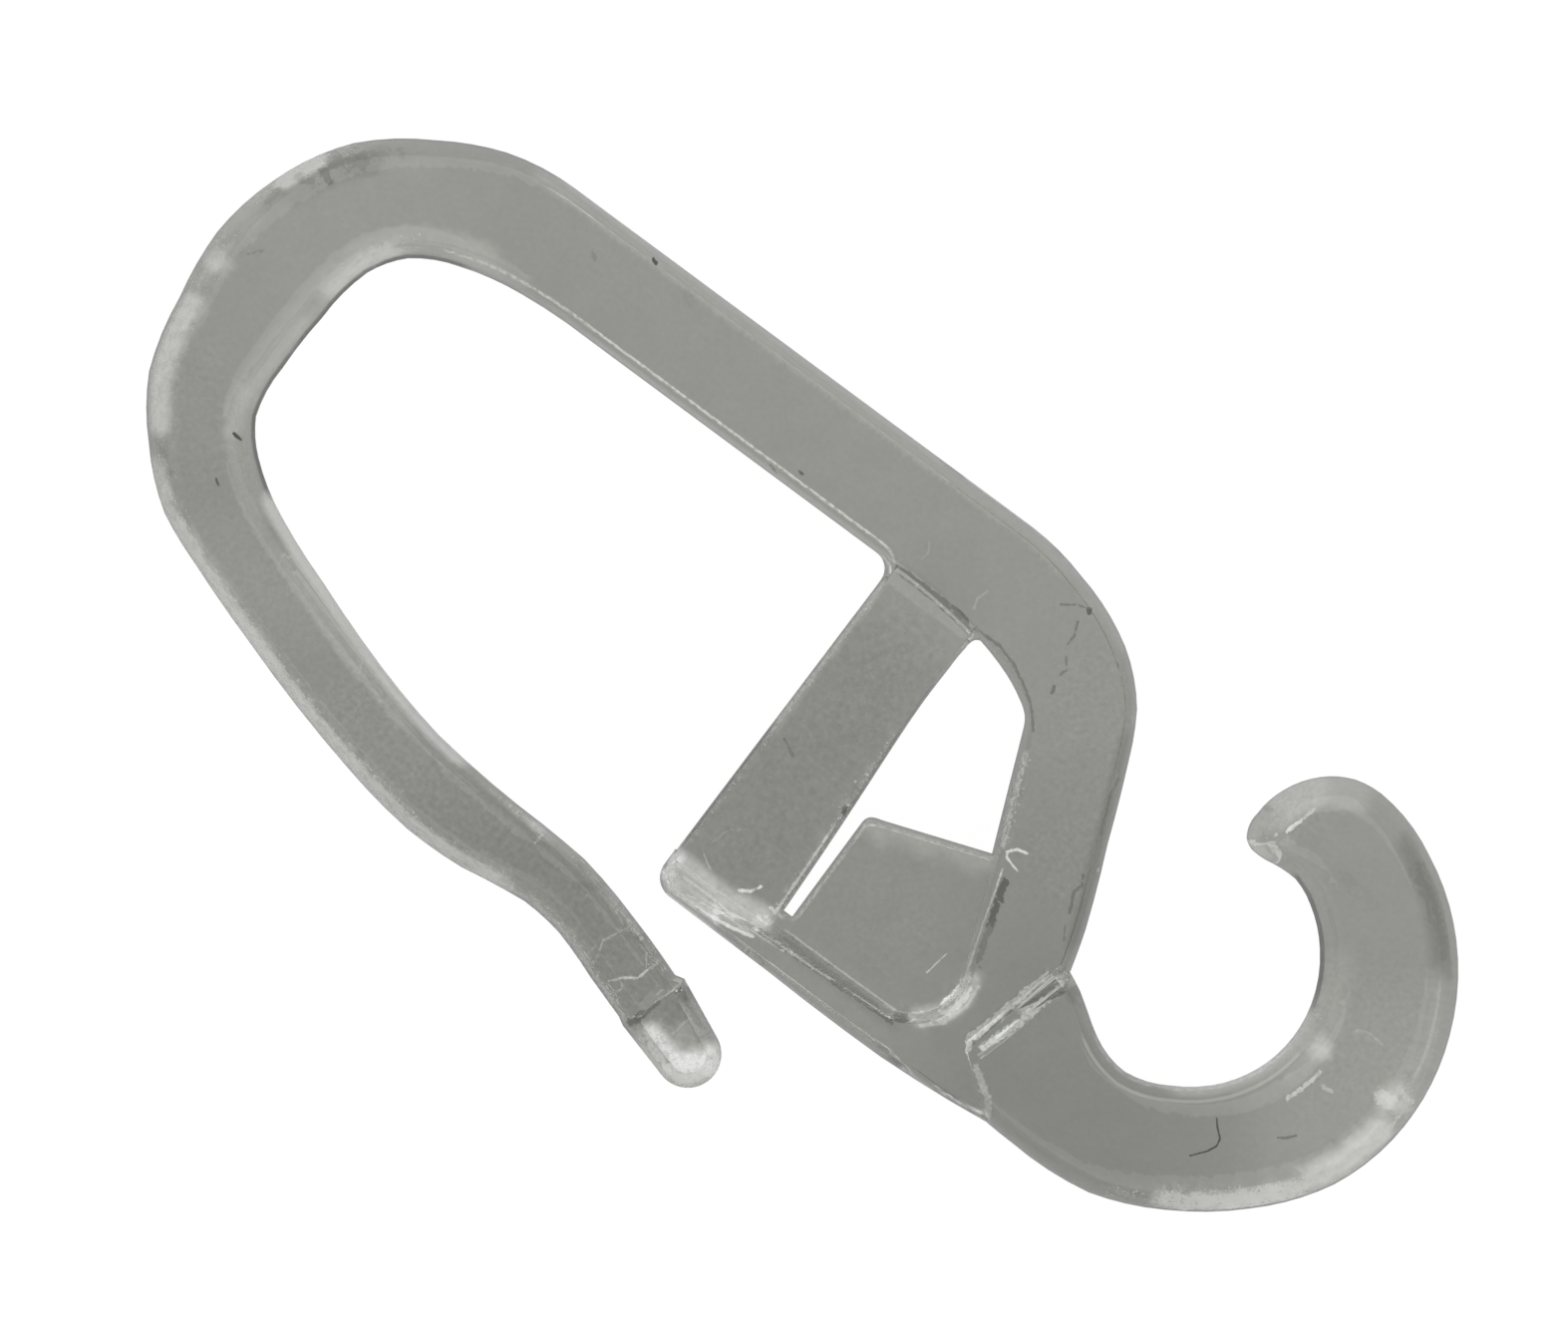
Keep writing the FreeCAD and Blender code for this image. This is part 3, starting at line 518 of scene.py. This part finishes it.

# Painted light on the flanks: lighter about the parting line than where they round over to the face
flank_heights, flank_tones = (0.0, 0.3, 0.6, 0.8, 0.93, 0.999), (1.1, 1.12, 1.1, 1.02, 0.97, 1.0)
layers["tone"] *= np.where(on_flat, 1.0, np.interp(off_parting, flank_heights, flank_tones))
for points, reach, span, amount in frost_and_glint_bands:
    layers["frost_and_glints"] = np.maximum(layers["frost_and_glints"], amount * along(points, reach) * stretch(span))
for points, reach, amount in grainy:
    layers["grain"] += amount * along(points, reach)
for name, marks in (("light mark", scratch_and_highlight_marks), ("dark mark", dirt_and_shade_marks)):
    nearest, layers[name + " strength"] = np.full(count, 2.0), np.zeros(count)
    for points, width, strength in marks:
        away = off_line(plan, points) / width
        layers[name + " strength"][away < nearest] = strength
        nearest = np.minimum(nearest, away)
    layers[name] = 1 - nearest
layers["dark mark strength"] *= upper

# Beside the throat and at the neck a slope would show the lower face's light marks a second time, so there they
# are on the upper face alone
for line in ([(16.42, 1.65), (16.15, 0.6)], [(9.9, -0.4), (9.3, -1.5)]):
    layers["light mark strength"] *= np.where(upper, 1.0, 1 - along(line, 0.8))

for name, values in layers.items():
    hook_mesh.attributes.new(name, "FLOAT", "POINT").data.foreach_set("value", values.astype(np.float32))
for name, lines in (("thread", threads), ("second thread", second_threads), ("dark thread", dark_threads)):
    values = thread_layer(lines).astype(np.float32).ravel()
    hook_mesh.attributes.new(name, "FLOAT_VECTOR", "POINT").data.foreach_set("vector", values)

# Clear plastic. It lets light through with a grey tint, and its polish breaks into haze where the mould was rough.
# The tint with its painted light and shade, the haze, and the marks with their painted highlights and shade come
# from the layers above and from fine noise.
clear_tint = (0.284, 0.288, 0.265, 1)
pale_tint = (0.288, 0.289, 0.284, 1)
# The white of real scratches and crazing, and of the painted highlights and glints
highlight_and_scratch_white = (0.93, 0.94, 0.92, 1)
# The black of dirt and of painted shade
dirt_and_shade_black = (0.02, 0.02, 0.018, 1)
lamp_through = (0.88, 0.88, 0.86, 1)
polish, frost_roughness, highlight_and_scratch_roughness = 0.05, 0.25, 0.2
blotch_strength, grain_strength, haze_strength, rim_shade = 0.16, 0.24, 2.4, -0.3
blotch_middle, haze_middle = 0.5, 0.48
most_bounces = 3.5

plastic = bpy.data.materials.new("clear plastic")
plastic.use_nodes = True
nodes, links = plastic.node_tree.nodes, plastic.node_tree.links
shader = nodes["Principled BSDF"]
shader.inputs["IOR"].default_value = 1.49
shader.inputs["Transmission Weight"].default_value = 1.0


def math_node(operation, *values, clamp=False):
    """A Math node of plain numbers and sockets, and its result."""
    node = nodes.new("ShaderNodeMath")
    node.operation = operation
    node.use_clamp = clamp
    for socket, value in zip(node.inputs, values):
        if isinstance(value, (int, float)):
            socket.default_value = value
        else:
            links.new(value, socket)
    return node.outputs[0]


def layer(name):
    """One of the skin's own layers."""
    node = nodes.new("ShaderNodeAttribute")
    node.attribute_name = name
    return node.outputs["Fac"]


place = nodes.new("ShaderNodeTexCoord")
in_mm = nodes.new("ShaderNodeMapping")
in_mm.inputs["Scale"].default_value = (1 / mm, 1 / mm, 1 / mm)
links.new(place.outputs["Object"], in_mm.inputs["Vector"])


def noise(per_mm, detail):
    """Cloudy noise through the plastic, around 0.5."""
    node = nodes.new("ShaderNodeTexNoise")
    node.inputs["Scale"].default_value = per_mm
    node.inputs["Detail"].default_value = detail
    node.inputs["Roughness"].default_value = 0.6
    links.new(in_mm.outputs["Vector"], node.inputs["Vector"])
    return node.outputs["Fac"]


def soft_step(value, low, high):
    """0 up to low and 1 from high on, or the other way round where high is the smaller."""
    node = nodes.new("ShaderNodeMapRange")
    node.interpolation_type = "SMOOTHSTEP"
    node.inputs["From Min"].default_value = low
    node.inputs["From Max"].default_value = high
    links.new(value, node.inputs["Value"])
    return node.outputs["Result"]


def mix_colour(factor, under, over):
    """The under colour, covered by the over colour as far as the factor says."""
    node = nodes.new("ShaderNodeMix")
    node.data_type = "RGBA"
    links.new(factor, node.inputs["Factor"])
    for socket, colour in ((node.inputs["A"], under), (node.inputs["B"], over)):
        if isinstance(colour, tuple):
            socket.default_value = colour
        else:
            links.new(colour, socket)
    return node.outputs["Result"]


blotches = noise(1.1, 3.0)
fine_grain = noise(7.0, 3.0)
rough_patches = noise(3.2, 4.0)
speckle = noise(10.0, 3.0)

frost_and_glints = layer("frost_and_glints")
depth_in = layer("outline depth")


def thread(name):
    """The thread's mask: its strength where the point lies within the thread's width of its own depth."""
    node = nodes.new("ShaderNodeAttribute")
    node.attribute_name = name
    parts = nodes.new("ShaderNodeSeparateXYZ")
    links.new(node.outputs["Vector"], parts.inputs[0])
    off = math_node("ABSOLUTE", math_node("SUBTRACT", depth_in, parts.outputs["X"]))
    within = soft_step(math_node("DIVIDE", off, parts.outputs["Y"]), 0.65, 0.25)
    return math_node("MULTIPLY", within, parts.outputs["Z"])


# Tone: the tone layer's painted light and shade, soft mottling, fine grain, haze that is stronger where the plastic
# is frosty, and painted shade along the rim
mottle = math_node("MULTIPLY_ADD", blotches, blotch_strength, 1.0 - blotch_strength * blotch_middle)
grain = math_node("MULTIPLY", math_node("SUBTRACT", fine_grain, 0.5), grain_strength)
grain = math_node("MULTIPLY_ADD", grain, layer("grain"), 1.0)
hazy = math_node("MULTIPLY", math_node("SUBTRACT", rough_patches, haze_middle), frost_and_glints)
hazy = math_node("MULTIPLY_ADD", hazy, haze_strength, 1.0)
rim = soft_step(depth_in, 0.07, 0.0)
tone = math_node("MULTIPLY", math_node("MULTIPLY", layer("tone"), mottle), math_node("MULTIPLY", grain, hazy))
tone = math_node("MULTIPLY", tone, math_node("MULTIPLY_ADD", rim, rim_shade, 1.0))
tint = nodes.new("ShaderNodeVectorMath")
tint.operation = "SCALE"
links.new(mix_colour(soft_step(tone, 1.15, 2.2), clear_tint, pale_tint), tint.inputs[0])
links.new(tone, tint.inputs["Scale"])


def mark(name, least, most):
    """The mark's mask. Its edge is ragged, by least where the mark is at full strength and by up to most below."""
    strength = layer(name + " strength")
    ragged = math_node("MULTIPLY_ADD", strength, least - most, most)
    edge = math_node("MULTIPLY", math_node("SUBTRACT", fine_grain, 0.5), ragged)
    core = math_node("ADD", layer(name), edge)
    return math_node("MULTIPLY", soft_step(core, 0.38, 0.56), strength)


# What is painted light: the threads, broken along their length, the light marks, which also hold real scratches and
# crazing, and painted glinting specks where the plastic is frosty
broken = math_node("MULTIPLY_ADD", soft_step(fine_grain, 0.42, 0.56), 0.8, 0.2)
flecks = math_node("MULTIPLY_ADD", soft_step(speckle, 0.44, 0.54), 0.45, 0.55)
painted_glints = soft_step(math_node("MULTIPLY_ADD", frost_and_glints, 0.22, speckle), 0.72, 0.8)
painted_glints = math_node("MULTIPLY", painted_glints, soft_step(frost_and_glints, 0.05, 0.3))
scratch_and_highlight_flecks = math_node("MULTIPLY", mark("light mark", 1.7, 1.7), flecks)
lit = math_node("MAXIMUM", math_node("MULTIPLY", thread("thread"), broken), scratch_and_highlight_flecks)
lit = math_node("MAXIMUM", lit, math_node("MULTIPLY", thread("second thread"), 0.9))
lit = math_node("MAXIMUM", lit, math_node("MULTIPLY", painted_glints, 0.8), clamp=True)

# What is dark: the dark marks, which are dirt, a fibre and crazing and also painted shade, the dark threads of
# painted shade, and pits where the frosting is thickest
pits = math_node("MULTIPLY", soft_step(speckle, 0.42, 0.34), soft_step(frost_and_glints, 0.75, 1.15))
dirt_and_shade_mask = math_node("MAXIMUM", mark("dark mark", 1.0, 4.6), thread("dark thread"))
dirt_and_shade_mask = math_node("MAXIMUM", dirt_and_shade_mask, math_node("MULTIPLY", pits, 0.6), clamp=True)
with_highlights_and_scratches = mix_colour(lit, tint.outputs["Vector"], highlight_and_scratch_white)
links.new(mix_colour(dirt_and_shade_mask, with_highlights_and_scratches, dirt_and_shade_black), shader.inputs["Base Color"])

# Frosting, scratches and the painted highlights take the polish off, and the frosting also breaks up what the
# surface mirrors
roughness = math_node("MULTIPLY_ADD", frost_and_glints, frost_roughness, polish)
roughness = math_node("ADD", roughness, math_node("MULTIPLY", lit, highlight_and_scratch_roughness), clamp=True)
links.new(roughness, shader.inputs["Roughness"])

ripple = nodes.new("ShaderNodeBump")
ripple.inputs["Strength"].default_value = 0.2
ripple.inputs["Distance"].default_value = 0.02 * mm
links.new(math_node("MULTIPLY", rough_patches, math_node("ADD", frost_and_glints, 0.1)), ripple.inputs["Height"])
links.new(ripple.outputs["Normal"], shader.inputs["Normal"])

# The lamps shine through the plastic, and light that has turned about inside it often enough gets out
path = nodes.new("ShaderNodeLightPath")
through = nodes.new("ShaderNodeBsdfTransparent")
through.inputs["Color"].default_value = lamp_through
lamps_pass = nodes.new("ShaderNodeMixShader")
trapped = math_node("GREATER_THAN", path.outputs["Ray Depth"], most_bounces)
links.new(math_node("MAXIMUM", path.outputs["Is Shadow Ray"], trapped), lamps_pass.inputs["Fac"])
links.new(shader.outputs["BSDF"], lamps_pass.inputs[1])
links.new(through.outputs["BSDF"], lamps_pass.inputs[2])
links.new(lamps_pass.outputs["Shader"], nodes["Material Output"].inputs["Surface"])
hook_mesh.materials.append(plastic)

# The floor is a pale sheet under the hook. It reads white to the camera and through the plastic, is dimmer where
# the plastic mirrors it, and keeps a faint shadow.
floor_reach = 0.6
floor_gap = 0.03
sheet_colour = (0.8, 0.8, 0.8, 1)
seen_glow, mirrored_glow = 1.04, 0.3
glow_share = 0.92
sheet = bmesh.new()
bmesh.ops.create_grid(sheet, x_segments=1, y_segments=1, size=floor_reach)
bmesh.ops.translate(sheet, verts=sheet.verts, vec=(0, 0, -floor_gap * mm))
floor_mesh = bpy.data.meshes.new("floor")
sheet.to_mesh(floor_mesh)
sheet.free()
floor = bpy.data.objects.new("floor", floor_mesh)
bpy.context.scene.collection.objects.link(floor)
pale = bpy.data.materials.new("pale floor")
pale.use_nodes = True
nodes, links = pale.node_tree.nodes, pale.node_tree.links
paper = nodes["Principled BSDF"]
paper.inputs["Base Color"].default_value = sheet_colour
paper.inputs["Roughness"].default_value = 0.9
paper.inputs["Specular IOR Level"].default_value = 0.0
glow = nodes.new("ShaderNodeEmission")
path = nodes.new("ShaderNodeLightPath")
seen = math_node("MAXIMUM", path.outputs["Is Camera Ray"], path.outputs["Is Transmission Ray"])
mirrored = path.outputs["Is Glossy Ray"]
dimmer = math_node("MULTIPLY", mirrored, mirrored_glow)
links.new(math_node("MAXIMUM", math_node("MULTIPLY", seen, seen_glow), dimmer), glow.inputs["Strength"])
both = nodes.new("ShaderNodeMixShader")
links.new(math_node("MULTIPLY", math_node("MAXIMUM", seen, mirrored), glow_share), both.inputs["Fac"])
links.new(paper.outputs["BSDF"], both.inputs[1])
links.new(glow.outputs["Emission"], both.inputs[2])
links.new(both.outputs["Shader"], nodes["Material Output"].inputs["Surface"])
floor_mesh.materials.append(pale)

# The room is a white surround. The camera sees it at full white, also through the plastic, and the plastic
# mirrors it more dimly.
seen_white, mirrored_white = 1.0, 0.55
world = bpy.data.worlds.new("surround")
bpy.context.scene.world = world
world.use_nodes = True
nodes, links = world.node_tree.nodes, world.node_tree.links
path = nodes.new("ShaderNodeLightPath")
seen = math_node("MAXIMUM", path.outputs["Is Camera Ray"], path.outputs["Is Transmission Ray"])
brightness = math_node("MULTIPLY_ADD", seen, seen_white - mirrored_white, mirrored_white)
links.new(brightness, nodes["Background"].inputs["Strength"])
nodes["Background"].inputs["Color"].default_value = (1, 1, 1, 1)

# Two soft lamps, as broad as a light box, on either side above the hook. Each has its name, its place in metres
# and its power in watts.
lamp_size = 0.8
for name, at, power in (("key", (-0.25, 0.30, 0.45), 1.8), ("fill", (0.30, -0.25, 0.40), 1.6)):
    lamp_data = bpy.data.lights.new(name, "AREA")
    lamp_data.size = lamp_size
    lamp_data.energy = power
    lamp = bpy.data.objects.new(name, lamp_data)
    bpy.context.scene.collection.objects.link(lamp)
    lamp.location = at
    lamp.rotation_euler = Vector(at).to_track_quat("Z", "Y").to_euler()

# The camera looks straight down through a long lens, turned so that the hook lies as in the photograph. The
# photograph's scale is in pixels per millimetre, and middle_px is where the hook's own middle lies in it.
photo_width, photo_height = 1573, 1335
photo_scale = 39.2
turn = math.radians(36.5)
middle_px = (767.45, 743.3)
sensor = 36.0
camera_height = 0.6
right = Vector((math.cos(turn), math.sin(turn), 0))
up = Vector((-math.sin(turn), math.cos(turn), 0))
off_right = (middle_px[0] - photo_width / 2) / photo_scale * mm
off_up = (photo_height / 2 - middle_px[1]) / photo_scale * mm
camera_data = bpy.data.cameras.new("camera")
camera_data.sensor_width = sensor
camera_data.lens = sensor * camera_height / (photo_width / photo_scale * mm)
camera = bpy.data.objects.new("camera", camera_data)
bpy.context.scene.collection.objects.link(camera)
camera.location = right * -off_right + up * -off_up + Vector((0, 0, camera_height + parting_z * mm))
camera.rotation_euler = (0, 0, turn)
bpy.context.scene.camera = camera
bpy.context.scene.view_settings.view_transform = "Standard"
